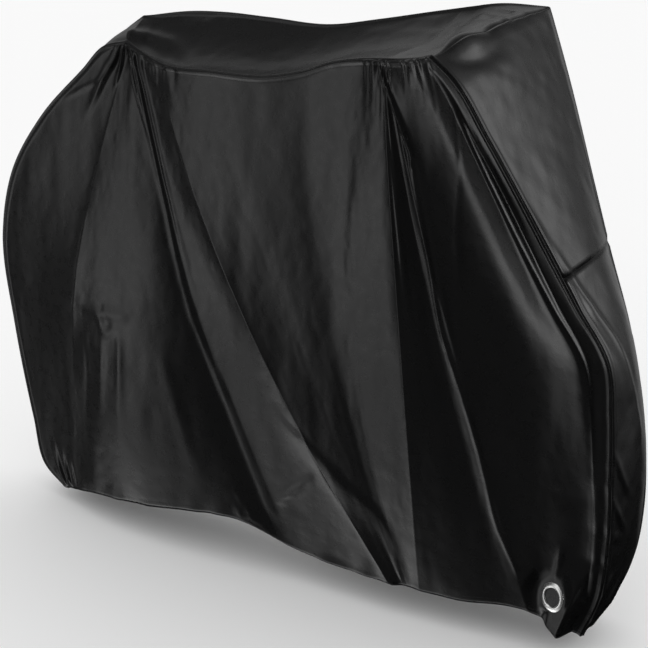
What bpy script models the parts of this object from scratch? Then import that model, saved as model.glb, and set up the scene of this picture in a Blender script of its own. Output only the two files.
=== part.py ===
"""Cover for one bicycle, hanging as it does over the bicycle: two side panels, a gusset in four
pieces that runs up the back, over the top and down the front, and a lock eyelet in each side.

Metres, +X to the bicycle's front, +Y to its left, +Z up. The origin is on the level of the
lowest hem point, under the middle of the cover.

Every panel is cut from one skin. The skin is a closed band of points: a side panel is a grid
of columns, which run down the folds from the seam to the hem, and rows, which run level. The
gusset is a grid between the two side panels' outer edges. The cloth's inner face lies one
thickness in along the skin's own normals, so that panels meet in a mitre at each seam.
"""

import bpy
import numpy as np
from mathutils import Matrix, Vector

# Driving sizes
CLOTH = 0.002
EDGE_BACK = 0.00024
CORNER_TURN = 1.2
ROWS = 24
STRIP_CELLS = 4
CROSS_SEAM_ROW = 15
SHIFT = Vector((0.0215, 0.0, 0.016))

# Edge lines of the right half and of the left half. "half" is the distance from the middle
# plane. The rear and front lines run up from the hem, the top and hem lines run forwards.
REAR_RIGHT = (
    # x      half   z
    (-0.636, 0.066, -0.014),
    (-0.712, 0.054, 0.030),
    (-0.740, 0.052, 0.140),
    (-0.783, 0.050, 0.367),
    (-0.803, 0.050, 0.585),
    (-0.766, 0.050, 0.732),
    (-0.668, 0.050, 0.875),
    (-0.538, 0.050, 0.996),
    (-0.478, 0.050, 1.050),
    (-0.416, 0.050, 1.066),
)
TOP_RIGHT = (
    (-0.416, 0.050, 1.066),
    (-0.281, 0.090, 1.037),
    (-0.158, 0.110, 1.042),
    (0.002, 0.120, 1.050),
    (0.080, 0.122, 1.068),
    (0.156, 0.130, 1.095),
    (0.231, 0.142, 1.110),
    (0.338, 0.180, 1.125),
    (0.426, 0.228, 1.148),
)
FRONT_RIGHT = (
    (0.701, 0.060, -0.010),
    (0.741, 0.072, 0.088),
    (0.760, 0.086, 0.226),
    (0.760, 0.093, 0.353),
    (0.756, 0.096, 0.476),
    (0.743, 0.100, 0.590),
    (0.686, 0.117, 0.691),
    (0.632, 0.143, 0.800),
    (0.582, 0.164, 0.898),
    (0.528, 0.189, 1.001),
    (0.470, 0.222, 1.110),
    (0.426, 0.228, 1.148),
)
HEM_RIGHT = (
    (-0.636, 0.066, -0.014),
    (-0.505, 0.100, 0.018),
    (-0.352, 0.120, 0.037),
    (-0.228, 0.130, 0.058),
    (-0.059, 0.130, 0.067),
    (0.041, 0.120, 0.033),
    (0.131, 0.120, 0.024),
    (0.349, 0.120, 0.022),
    (0.446, 0.120, 0.023),
    (0.613, 0.100, 0.031),
    (0.660, 0.085, 0.012),
    (0.701, 0.060, -0.010),
)
REAR_LEFT = (
    (-0.645, 0.070, -0.016),
    (-0.715, 0.058, 0.028),
    (-0.745, 0.054, 0.140),
    (-0.790, 0.050, 0.367),
    (-0.810, 0.050, 0.585),
    (-0.776, 0.050, 0.735),
    (-0.684, 0.052, 0.882),
    (-0.560, 0.056, 1.010),
    (-0.505, 0.062, 1.068),
    (-0.458, 0.070, 1.104),
)
TOP_LEFT = (
    (-0.458, 0.070, 1.104),
    (-0.350, 0.090, 1.121),
    (-0.264, 0.100, 1.125),
    (-0.154, 0.110, 1.122),
    (-0.005, 0.120, 1.119),
    (0.098, 0.140, 1.136),
    (0.234, 0.180, 1.161),
    (0.337, 0.215, 1.177),
    (0.437, 0.228, 1.176),
)
FRONT_LEFT = (
    (0.690, 0.055, 0.000),
    (0.718, 0.060, 0.045),
    (0.749, 0.070, 0.138),
    (0.757, 0.080, 0.235),
    (0.752, 0.085, 0.340),
    (0.738, 0.090, 0.439),
    (0.692, 0.108, 0.597),
    (0.632, 0.132, 0.737),
    (0.573, 0.168, 0.865),
    (0.505, 0.198, 1.030),
    (0.437, 0.228, 1.176),
)
HEM_LEFT = (
    (-0.645, 0.070, -0.016),
    (-0.505, 0.102, 0.010),
    (-0.300, 0.124, 0.030),
    (-0.059, 0.130, 0.052),
    (0.131, 0.124, 0.040),
    (0.349, 0.122, 0.024),
    (0.560, 0.108, 0.020),
    (0.640, 0.088, 0.012),
    (0.690, 0.055, 0.000),
)

# Folds of a side panel, from the rear seam to the front seam. "top" and "hem" are where the
# fold leaves the seam and where it reaches the hem, along X. "rear" and "front" are its share
# of those seams' curves, and "bow" how far it swings forwards half way down. "cells" is how
# many grid cells lead to the next fold. The last four are how far the cloth stands out from
# the straight line between its seam and its hem, from the hem up to three quarters.
FOLDS_RIGHT = (
    # top     hem   rear  front  bow   cells  hem    low    mid    high
    (-0.416, -0.636, 1.00, 0.00, 0.000, 4, 0.000, 0.000, 0.000, 0.000),
    (-0.402, -0.590, 0.08, 0.00, -0.015, 3, 0.004, 0.026, 0.050, 0.028),
    (-0.390, -0.410, 0.00, 0.00, 0.000, 4, 0.014, 0.044, 0.044, 0.026),
    (-0.372, 0.010, 0.00, 0.00, -0.030, 3, 0.000, 0.017, 0.031, 0.021),
    (-0.316, 0.302, 0.00, 0.00, -0.038, 2, 0.012, 0.034, 0.042, 0.032),
    (-0.190, 0.322, 0.00, 0.00, 0.000, 4, 0.004, 0.025, 0.025, 0.022),
    (0.236, 0.338, 0.00, 0.00, -0.070, 3, 0.004, 0.012, 0.012, 0.008),
    (0.280, 0.368, 0.00, 0.00, 0.010, 1, 0.008, 0.022, 0.024, 0.018),
    (0.284, 0.440, 0.00, 0.00, 0.000, 1, 0.002, 0.010, 0.014, 0.014),
    (0.289, 0.560, 0.00, 0.00, -0.020, 1, -0.002, -0.002, 0.002, 0.004),
    (0.295, 0.606, 0.00, 0.06, -0.025, 2, 0.004, 0.004, 0.006, 0.010),
    (0.345, 0.640, 0.00, 0.50, 0.000, 2, 0.000, -0.010, -0.012, -0.006),
    (0.388, 0.676, 0.00, 0.80, 0.012, 2, 0.002, -0.005, 0.013, 0.022),
    (0.404, 0.690, 0.00, 0.90, 0.000, 2, 0.002, 0.004, 0.005, 0.000),
    (0.426, 0.701, 0.00, 1.00, 0.000, 0, 0.000, 0.000, 0.000, 0.000),
)
FOLDS_LEFT = (
    (-0.458, -0.645, 1.00, 0.00, 0.000, 4, 0.000, 0.000, 0.000, 0.000),
    (-0.444, -0.590, 0.08, 0.00, -0.015, 3, 0.002, 0.026, 0.040, 0.022),
    (-0.430, -0.440, 0.00, 0.00, 0.000, 4, 0.006, 0.024, 0.036, 0.024),
    (-0.412, -0.080, 0.00, 0.00, -0.020, 3, -0.002, 0.010, 0.016, 0.014),
    (-0.340, 0.250, 0.00, 0.00, -0.030, 2, 0.010, 0.028, 0.034, 0.024),
    (-0.230, 0.272, 0.00, 0.00, 0.000, 4, 0.000, 0.014, 0.016, 0.014),
    (0.200, 0.310, 0.00, 0.00, -0.050, 3, 0.004, 0.010, 0.012, 0.008),
    (0.262, 0.352, 0.00, 0.00, 0.010, 1, 0.008, 0.022, 0.024, 0.018),
    (0.268, 0.420, 0.00, 0.00, 0.000, 1, 0.000, 0.008, 0.012, 0.012),
    (0.280, 0.530, 0.00, 0.00, -0.015, 1, -0.002, -0.004, 0.002, 0.004),
    (0.300, 0.590, 0.00, 0.06, -0.020, 2, 0.006, 0.004, 0.008, 0.008),
    (0.350, 0.622, 0.00, 0.30, 0.000, 2, -0.002, -0.002, -0.002, 0.000),
    (0.394, 0.656, 0.00, 0.74, 0.000, 2, 0.006, 0.016, 0.024, 0.018),
    (0.416, 0.676, 0.00, 0.86, 0.000, 2, 0.000, 0.002, 0.000, -0.004),
    (0.437, 0.690, 0.00, 1.00, 0.000, 0, 0.000, 0.000, 0.000, 0.000),
)
FOLD_HEIGHTS = (0.0, 0.25, 0.5, 0.75, 1.0)

# How far the middle of the gusset stands out from the line between its two seams, against
# the share of the way up the back, along the top and up the front.
CROWN_REAR = ((0.0, 0.0), (0.5, 0.016), (0.8, 0.006), (1.0, 0.004))
CROWN_TOP = ((0.0, 0.004), (0.2, -0.010), (0.5, -0.026), (0.8, -0.006), (1.0, 0.016))
CROWN_FRONT = ((0.0, 0.0), (0.3, 0.026), (0.6, 0.022), (0.85, 0.012), (1.0, 0.016))

# Lock eyelets: the flat place in the side panel, and the ring that is set there.
EYELET_AT = (0.656, 0.106, 0.086)
EYELET_FACING = (-0.30, -0.93, 0.16)
FIELD_FOLDS = (10.5, 12.5)
FIELD_FADE_FOLDS = 1.0
FIELD_ROWS = 3
FIELD_FADE_ROWS = 6
RING_HOLE = 0.0185
RING_WALL = 0.0013
RING_OUTER = 0.0300
RING_BACK = 0.0265
RING_FLANGE = 0.0014
RING_CLEAR = 0.0004
RING_STEPS = 20

CLOTH_BLACK = ("coated_cloth_black", (0.012, 0.012, 0.013, 1.0), 0.42, 0.0)
BRIGHT_METAL = ("eyelet_bright_metal", (0.80, 0.80, 0.79, 1.0), 0.28, 1.0)


def clear_scene():
    for item in list(bpy.data.objects):
        bpy.data.objects.remove(item, do_unlink=True)


def make_material(settings):
    name, colour, roughness, metallic = settings
    material = bpy.data.materials.new(name)
    material.use_nodes = True
    shader = material.node_tree.nodes["Principled BSDF"]
    shader.inputs["Base Color"].default_value = colour
    shader.inputs["Roughness"].default_value = roughness
    shader.inputs["Metallic"].default_value = metallic
    return material


def through(knots, rows, at):
    """Smooth curve through the rows: cubics that share, at each knot, the slope of its neighbours."""
    knots = np.asarray(knots, float)
    rows = np.asarray(rows, float)
    at = np.asarray(at, float)
    slope = np.gradient(rows, knots, axis=0)
    low = np.clip(np.searchsorted(knots, at, side="right") - 1, 0, len(knots) - 2)
    length = knots[low + 1] - knots[low]
    share = (at - knots[low]) / length
    if rows.ndim > 1:
        share = share[:, None]
        length = length[:, None]
    return (
        (1 + 2 * share) * (1 - share) ** 2 * rows[low]
        + share * (1 - share) ** 2 * length * slope[low]
        + share**2 * (3 - 2 * share) * rows[low + 1]
        + share**2 * (share - 1) * length * slope[low + 1]
    )


def up_the_edge(table, shares):
    """Points of a rear or front edge at these shares of its length, from the hem up."""
    rows = np.array(table)
    steps = np.linalg.norm(np.diff(rows, axis=0), axis=1)
    knots = np.concatenate([[0.0], np.cumsum(steps)]) / steps.sum()
    return through(knots, rows, shares)


def along_x(table, x):
    """Points of a top edge or a hem at these places along X."""
    rows = np.array(table)
    return through(rows[:, 0], rows, x)


def fold_columns(folds):
    """The fold number, whole at a fold and in between elsewhere, of each grid column."""
    cells = [int(row[5]) for row in folds]
    parts = [np.arange(count) / count + index for index, count in enumerate(cells) if count]
    return np.concatenate(parts + [[len(folds) - 1.0]])


def side_skin(rear, top, front, hem, folds):
    """(columns, rows, x half z): each column runs straight from hem to seam, bent by its shares."""
    table = np.array(folds)
    number = np.arange(len(table), dtype=float)
    column = fold_columns(folds)
    level = np.linspace(0.0, 1.0, ROWS + 1)
    top_x, hem_x, rear_share, front_share, bow = (
        np.interp(column, number, table[:, place]) for place in range(5)
    )
    above = along_x(top, top_x)
    below = along_x(hem, hem_x)
    rear_line = up_the_edge(rear, level)
    front_line = up_the_edge(front, level)
    rear_bend = rear_line - (rear_line[:1] + level[:, None] * (rear_line[-1:] - rear_line[:1]))
    front_bend = front_line - (front_line[:1] + level[:, None] * (front_line[-1:] - front_line[:1]))
    skin = below[:, None] + level[None, :, None] * (above - below)[:, None]
    skin += rear_share[:, None, None] * rear_bend[None] + front_share[:, None, None] * front_bend[None]
    skin[..., 0] += bow[:, None] * (4 * level * (1 - level))[None]
    heights = np.concatenate([table[:, 6:10], np.zeros((len(table), 1))], axis=1)
    by_level = through(FOLD_HEIGHTS, heights.T, level)
    stands_out = np.array([np.interp(column, number, line) for line in by_level]).T
    skin[..., 1] += stands_out
    return flatten_for_eyelet(skin, column)


def flatten_for_eyelet(skin, column):
    """The same skin, with its half widths on the eyelet's plane over the field that holds it."""
    centre = np.array(EYELET_AT)
    facing = np.array(EYELET_FACING)
    plane = centre[1] + ((skin[..., [0, 2]] - centre[[0, 2]]) @ facing[[0, 2]]) / facing[1]
    past_fold = np.maximum(FIELD_FOLDS[0] - column, column - FIELD_FOLDS[1])
    past_row = np.arange(ROWS + 1) - FIELD_ROWS
    by_fold = 1 - np.clip(past_fold / FIELD_FADE_FOLDS, 0.0, 1.0)
    by_row = 1 - np.clip(past_row / FIELD_FADE_ROWS, 0.0, 1.0)
    skin[..., 1] += by_fold[:, None] * by_row * (plane - skin[..., 1])
    return skin


def in_space(skin, sign):
    return skin * np.array([1.0, sign, 1.0])


def seam_of(panel):
    """The seam of a side panel: up its rear edge, forwards along its top and down its front."""
    return np.concatenate([panel[0], panel[1:, -1], panel[-1, -2::-1]])


def crown_rise(columns):
    """How far the gusset's middle stands out, at each point of the seam."""
    places = (
        (CROWN_REAR, np.linspace(0.0, 1.0, ROWS + 1)),
        (CROWN_TOP, np.linspace(0.0, 1.0, columns)[1:]),
        (CROWN_FRONT, np.linspace(1.0, 0.0, ROWS + 1)[1:]),
    )
    return np.concatenate([through(*np.array(table).T, at) for table, at in places])


def strip_skin(right, left, rise):
    """Grid across the gusset: straight from seam to seam, raised in the middle by the crown."""
    share = np.linspace(0.0, 1.0, STRIP_CELLS + 1)
    grid = right[:, None] + share[None, :, None] * (left - right)[:, None]
    middle = (right + left) / 2
    run = np.gradient(middle, axis=0)
    outward = np.stack([-run[:, 2], np.zeros(len(run)), run[:, 0]], axis=1)
    outward /= np.linalg.norm(outward, axis=1)[:, None]
    hump = 1 - (2 * share - 1) ** 2
    return grid + rise[:, None, None] * hump[None, :, None] * outward[:, None]


class Skin:
    """All the cover's grids as one mesh with shared points, so that seams share their normals."""

    def __init__(self):
        self.points = []
        self.known = {}
        self.cells = []

    def add(self, grid):
        """Numbers of this grid's points, where a point already there keeps its number."""
        numbers = np.empty(grid.shape[:2], int)
        for place in np.ndindex(*grid.shape[:2]):
            key = tuple(np.round(grid[place] / 1e-6).astype(int))
            if key not in self.known:
                self.known[key] = len(self.points)
                self.points.append(grid[place])
            numbers[place] = self.known[key]
        self.cells.append(cells_of(numbers))
        return numbers

    def faces(self):
        """Outer and inner points: the inner face is a thickness in along each point's normal."""
        outer = np.array(self.points)
        quads = np.concatenate(self.cells)
        across = outer[quads[:, 2]] - outer[quads[:, 0]]
        other = outer[quads[:, 3]] - outer[quads[:, 1]]
        normal = np.cross(across, other)
        normal /= np.linalg.norm(normal, axis=1)[:, None]
        summed = np.zeros_like(outer)
        for corner in range(4):
            np.add.at(summed, quads[:, corner], normal)
        summed /= np.linalg.norm(summed, axis=1)[:, None]
        return outer, outer - CLOTH * summed


def cells_of(numbers):
    """The grid's four-sided cells, going round so that they face out of the cover."""
    corners = (numbers[:-1, :-1], numbers[1:, :-1], numbers[1:, 1:], numbers[:-1, 1:])
    return np.stack([corner.ravel() for corner in corners], axis=1)


def halves_of(quads, points):
    """Each cell's two triangles, cut across its shorter diagonal."""
    first = np.linalg.norm(points[quads[:, 2]] - points[quads[:, 0]], axis=1)
    second = np.linalg.norm(points[quads[:, 3]] - points[quads[:, 1]], axis=1)
    one_way = quads[:, [0, 1, 2, 0, 2, 3]]
    other_way = quads[:, [1, 2, 3, 1, 3, 0]]
    return np.where((first <= second)[:, None], one_way, other_way).reshape(-1, 3)


def sheet_object(name, numbers, kept, faces, material, collection):
    """One panel: its cells' outer and inner faces, and a wall all round, drawn back at the edge.

    A cell is cut the same way on both faces, so that they stay a thickness apart. The wall's
    cells are cut corner to corner the same way in both panels of a seam.
    """
    outer, inner = faces
    quads = cells_of(numbers)[kept.ravel()]
    used = np.unique(quads)
    local = {number: index for index, number in enumerate(used)}
    quads = np.vectorize(local.get)(quads)
    outside = outer[used].copy()
    inside = inner[used].copy()
    sides = np.concatenate([quads[:, [0, 1]], quads[:, [1, 2]], quads[:, [2, 3]], quads[:, [3, 0]]])
    pairs = {tuple(side) for side in sides.tolist()}
    rim = [side for side in sides.tolist() if (side[1], side[0]) not in pairs]
    on_rim = sorted({number for side in rim for number in side})
    back = np.zeros_like(outside)
    for start, end in rim:
        quad = next(cell for cell in quads.tolist() if {start, end} <= set(cell))
        middle = outside[quad].mean(axis=0)
        edge = outside[end] - outside[start]
        edge = edge / np.linalg.norm(edge)
        inward = middle - outside[start]
        inward = inward - inward.dot(edge) * edge
        inward = inward / np.linalg.norm(inward)
        back[start] += inward
        back[end] += inward
    for number in on_rim:
        length = np.linalg.norm(back[number])
        at_corner = 2.0 / max(length, CORNER_TURN)
        step = EDGE_BACK * back[number] / length * max(1.0, at_corner)
        outside[number] += step
        inside[number] += step
    count = len(used)
    halves = halves_of(quads, outside).tolist()
    shape = [tuple(half) for half in halves]
    shape += [tuple(number + count for number in reversed(half)) for half in halves]
    for start, end in rim:
        if used[start] < used[end]:
            shape += [(end, start, start + count), (end, start + count, end + count)]
        else:
            shape += [(end, start, end + count), (start, start + count, end + count)]
    mesh = bpy.data.meshes.new(name)
    mesh.from_pydata(np.concatenate([outside, inside]).tolist(), [], shape)
    mesh.materials.append(material)
    piece = bpy.data.objects.new(name, mesh)
    piece.location = SHIFT
    collection.objects.link(piece)
    return piece


def eyelet_frame(side):
    """Matrix whose Z is the eyelet's facing and whose origin is on the cloth's outer face."""
    facing = Vector(EYELET_FACING)
    facing.y *= -side
    centre = Vector(EYELET_AT)
    centre.y *= side
    turn = facing.to_track_quat("Z", "Y").to_matrix().to_4x4()
    return Matrix.Translation(centre + SHIFT) @ turn


def ring_object(name, side, material, collection):
    """A set eyelet: a barrel through the cloth between a broad front flange and a narrower back."""
    front = RING_CLEAR
    back = -CLOTH - RING_CLEAR
    barrel = RING_HOLE + RING_WALL
    lip = RING_FLANGE / 2
    profile = (
        (RING_HOLE, front + lip),
        (RING_HOLE, back - RING_FLANGE),
        (RING_BACK, back - RING_FLANGE),
        (RING_BACK, back),
        (barrel, back),
        (barrel, front),
        (RING_OUTER, front),
        (RING_OUTER, front + lip),
        (RING_OUTER - lip, front + RING_FLANGE),
        (RING_HOLE + lip, front + RING_FLANGE),
    )
    mesh = bpy.data.meshes.new(name)
    count = len(profile)
    points = [(radius, 0.0, height) for radius, height in reversed(profile)]
    mesh.from_pydata(points, [(index, (index + 1) % count) for index in range(count)], [])
    mesh.materials.append(material)
    ring = bpy.data.objects.new(name, mesh)
    ring.matrix_world = eyelet_frame(side)
    screw = ring.modifiers.new("turn", "SCREW")
    screw.steps = RING_STEPS
    screw.render_steps = RING_STEPS
    screw.use_merge_vertices = True
    screw.merge_threshold = 0.0001
    collection.objects.link(ring)
    return ring


def hole_cutter(name, side, collection):
    bpy.ops.mesh.primitive_cylinder_add(
        vertices=RING_STEPS, radius=RING_HOLE + RING_WALL + RING_CLEAR, depth=10 * CLOTH
    )
    cutter = bpy.context.object
    cutter.name = name
    cutter.matrix_world = eyelet_frame(side)
    cutter.hide_render = True
    cutter.display_type = "WIRE"
    for holder in list(cutter.users_collection):
        holder.objects.unlink(cutter)
    collection.objects.link(cutter)
    return cutter


def main():
    clear_scene()
    cover = bpy.data.collections.new("bicycle_cover")
    cutters = bpy.data.collections.new("cutters")
    bpy.context.scene.collection.children.link(cover)
    bpy.context.scene.collection.children.link(cutters)
    cloth = make_material(CLOTH_BLACK)
    metal = make_material(BRIGHT_METAL)

    right_skin = side_skin(REAR_RIGHT, TOP_RIGHT, FRONT_RIGHT, HEM_RIGHT, FOLDS_RIGHT)
    left_skin = side_skin(REAR_LEFT, TOP_LEFT, FRONT_LEFT, HEM_LEFT, FOLDS_LEFT)
    right = in_space(right_skin, -1.0)
    left = in_space(left_skin, 1.0)
    skin = Skin()
    right_numbers = skin.add(right)
    left_numbers = skin.add(left[::-1])
    rise = crown_rise(len(right))
    strip_numbers = skin.add(strip_skin(seam_of(right), seam_of(left), rise))
    faces = skin.faces()

    columns = fold_columns(FOLDS_RIGHT)
    start, end = (int(np.argmin(abs(columns - fold))) for fold in FIELD_FOLDS)
    field = np.zeros((len(columns) - 1, ROWS), bool)
    field[start:end, :FIELD_ROWS] = True
    sheet_object("side_panel_right", right_numbers, ~field, faces, cloth, cover)
    sheet_object("side_panel_left", left_numbers, ~field[::-1], faces, cloth, cover)
    field_right = sheet_object("eyelet_field_right", right_numbers, field, faces, cloth, cover)
    field_left = sheet_object("eyelet_field_left", left_numbers, field[::-1], faces, cloth, cover)

    at_bar = ROWS + len(columns) - 1
    at_cross_seam = at_bar + ROWS - CROSS_SEAM_ROW
    cuts = (0, ROWS, at_bar, at_cross_seam, len(rise) - 1)
    names = ("rear_panel", "top_panel", "front_panel_upper", "front_panel_lower")
    for name, first, last in zip(names, cuts[:-1], cuts[1:]):
        kept = np.zeros((len(rise) - 1, STRIP_CELLS), bool)
        kept[first:last] = True
        sheet_object(name, strip_numbers, kept, faces, cloth, cover)

    for side, word, cloth_field in ((-1.0, "right", field_right), (1.0, "left", field_left)):
        cut = cloth_field.modifiers.new("eyelet_hole", "BOOLEAN")
        cut.operation = "DIFFERENCE"
        cut.object = hole_cutter(f"hole_cutter_{word}", side, cutters)
        ring_object(f"eyelet_{word}", side, metal, cover)


main()
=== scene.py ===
"""A fitted bicycle cover of black coated cloth, hanging as it does over a bicycle that is left out.

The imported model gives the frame. Every panel of cloth here is a fine sheet on the folds of its
plain solid, with its creases, puckers, seams and hem, and each set eyelet stands on its ring.

Metres, +X to the bicycle's front, +Y to its left, +Z up.
"""

import bpy
import numpy as np
from mathutils import Matrix, Vector


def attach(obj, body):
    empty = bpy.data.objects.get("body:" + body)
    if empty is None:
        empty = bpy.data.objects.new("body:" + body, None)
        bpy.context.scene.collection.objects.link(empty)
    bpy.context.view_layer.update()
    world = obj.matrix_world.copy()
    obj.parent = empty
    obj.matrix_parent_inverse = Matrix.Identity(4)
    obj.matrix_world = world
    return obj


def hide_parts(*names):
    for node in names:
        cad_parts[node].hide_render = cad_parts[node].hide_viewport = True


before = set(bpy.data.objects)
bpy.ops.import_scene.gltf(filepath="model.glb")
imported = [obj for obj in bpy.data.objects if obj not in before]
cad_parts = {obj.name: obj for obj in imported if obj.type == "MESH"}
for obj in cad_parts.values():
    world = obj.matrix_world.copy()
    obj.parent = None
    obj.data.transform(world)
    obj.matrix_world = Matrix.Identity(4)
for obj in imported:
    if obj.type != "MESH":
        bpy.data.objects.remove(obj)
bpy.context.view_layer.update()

# ---------------------------------------------------------------------------------------------
# Side panels
# Each is one piece of thin woven cloth with a satin black coating, cut to the bicycle's side and
# sewn to the gusset round its rear, top and front. Its hem is turned in over a flat elastic.
# ---------------------------------------------------------------------------------------------

# From the tables' origin to the frame's
TO_FRAME = np.array([0.0215, 0.0, 0.016])

# Edge lines of each half. "half" is the distance from the middle plane. The rear and front
# lines run up from the hem, the top and hem lines run forwards.
REAR_RIGHT = (
    # x      half   z
    (-0.636, 0.066, -0.014),
    (-0.712, 0.054, 0.030),
    (-0.740, 0.052, 0.140),
    (-0.783, 0.050, 0.367),
    (-0.803, 0.050, 0.585),
    (-0.766, 0.050, 0.732),
    (-0.668, 0.050, 0.875),
    (-0.538, 0.050, 0.996),
    (-0.478, 0.050, 1.050),
    (-0.416, 0.050, 1.066),
)
TOP_RIGHT = (
    (-0.416, 0.050, 1.066),
    (-0.281, 0.090, 1.037),
    (-0.158, 0.110, 1.042),
    (0.002, 0.120, 1.050),
    (0.080, 0.122, 1.068),
    (0.156, 0.130, 1.095),
    (0.231, 0.142, 1.110),
    (0.338, 0.180, 1.125),
    (0.426, 0.228, 1.148),
)
FRONT_RIGHT = (
    (0.701, 0.060, -0.010),
    (0.741, 0.072, 0.088),
    (0.760, 0.086, 0.226),
    (0.760, 0.093, 0.353),
    (0.756, 0.096, 0.476),
    (0.743, 0.100, 0.590),
    (0.686, 0.117, 0.691),
    (0.632, 0.143, 0.800),
    (0.582, 0.164, 0.898),
    (0.528, 0.189, 1.001),
    (0.470, 0.222, 1.110),
    (0.426, 0.228, 1.148),
)
HEM_RIGHT = (
    (-0.636, 0.066, -0.014),
    (-0.505, 0.100, 0.018),
    (-0.352, 0.120, 0.037),
    (-0.228, 0.130, 0.058),
    (-0.059, 0.130, 0.067),
    (0.041, 0.120, 0.033),
    (0.131, 0.120, 0.024),
    (0.349, 0.120, 0.022),
    (0.446, 0.120, 0.023),
    (0.613, 0.100, 0.031),
    (0.660, 0.085, 0.012),
    (0.701, 0.060, -0.010),
)
REAR_LEFT = (
    (-0.645, 0.070, -0.016),
    (-0.715, 0.058, 0.028),
    (-0.745, 0.054, 0.140),
    (-0.790, 0.050, 0.367),
    (-0.810, 0.050, 0.585),
    (-0.776, 0.050, 0.735),
    (-0.684, 0.052, 0.882),
    (-0.560, 0.056, 1.010),
    (-0.505, 0.062, 1.068),
    (-0.458, 0.070, 1.104),
)
TOP_LEFT = (
    (-0.458, 0.070, 1.104),
    (-0.350, 0.090, 1.121),
    (-0.264, 0.100, 1.125),
    (-0.154, 0.110, 1.122),
    (-0.005, 0.120, 1.119),
    (0.098, 0.140, 1.136),
    (0.234, 0.180, 1.161),
    (0.337, 0.215, 1.177),
    (0.437, 0.228, 1.176),
)
FRONT_LEFT = (
    (0.690, 0.055, 0.000),
    (0.718, 0.060, 0.045),
    (0.749, 0.070, 0.138),
    (0.757, 0.080, 0.235),
    (0.752, 0.085, 0.340),
    (0.738, 0.090, 0.439),
    (0.692, 0.108, 0.597),
    (0.632, 0.132, 0.737),
    (0.573, 0.168, 0.865),
    (0.505, 0.198, 1.030),
    (0.437, 0.228, 1.176),
)
HEM_LEFT = (
    (-0.645, 0.070, -0.016),
    (-0.505, 0.102, 0.010),
    (-0.300, 0.124, 0.030),
    (-0.059, 0.130, 0.052),
    (0.131, 0.124, 0.040),
    (0.349, 0.122, 0.024),
    (0.560, 0.108, 0.020),
    (0.640, 0.088, 0.012),
    (0.690, 0.055, 0.000),
)

# Folds, from the rear seam to the front seam. "top" and "hem" are where a fold leaves the seam
# and where it reaches the hem, along X. "rear" and "front" are its share of those seams' curves,
# "bow" how far it swings forwards half way down, "knife" how sharp its edge is, "columns" how
# many grid columns lead to the next. The last four are how far the cloth stands out there.
FOLDS_RIGHT = (
    # top     hem   rear  front  bow   knife columns hem   low    mid    high
    (-0.416, -0.636, 1.00, 0.00, 0.000, 0.0, 36, 0.000, 0.000, 0.000, 0.000),
    (-0.402, -0.590, 0.08, 0.00, -0.015, 0.6, 24, 0.004, 0.026, 0.050, 0.028),
    (-0.390, -0.410, 0.00, 0.00, 0.000, 0.0, 28, 0.014, 0.044, 0.044, 0.026),
    (-0.372, 0.010, 0.00, 0.00, -0.030, 0.8, 26, 0.000, 0.017, 0.031, 0.021),
    (-0.316, 0.302, 0.00, 0.00, -0.038, 1.0, 24, 0.012, 0.034, 0.042, 0.032),
    (-0.190, 0.322, 0.00, 0.00, 0.000, 0.0, 40, 0.004, 0.025, 0.025, 0.022),
    (0.236, 0.338, 0.00, 0.00, -0.070, 0.1, 20, 0.004, 0.012, 0.012, 0.008),
    (0.280, 0.368, 0.00, 0.00, 0.010, 1.0, 16, 0.008, 0.022, 0.024, 0.018),
    (0.284, 0.440, 0.00, 0.00, 0.000, 0.1, 16, 0.002, 0.010, 0.014, 0.014),
    (0.289, 0.560, 0.00, 0.00, -0.020, 0.4, 12, -0.002, -0.002, 0.002, 0.004),
    (0.295, 0.606, 0.00, 0.06, -0.025, 0.8, 22, 0.004, 0.004, 0.006, 0.010),
    (0.345, 0.640, 0.00, 0.50, 0.000, 0.0, 20, 0.000, -0.010, -0.012, -0.006),
    (0.388, 0.676, 0.00, 0.80, 0.012, 0.3, 12, 0.002, -0.005, 0.013, 0.022),
    (0.404, 0.690, 0.00, 0.90, 0.000, 0.2, 16, 0.002, 0.004, 0.005, 0.000),
    (0.426, 0.701, 0.00, 1.00, 0.000, 0.0, 0, 0.000, 0.000, 0.000, 0.000),
)
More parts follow.
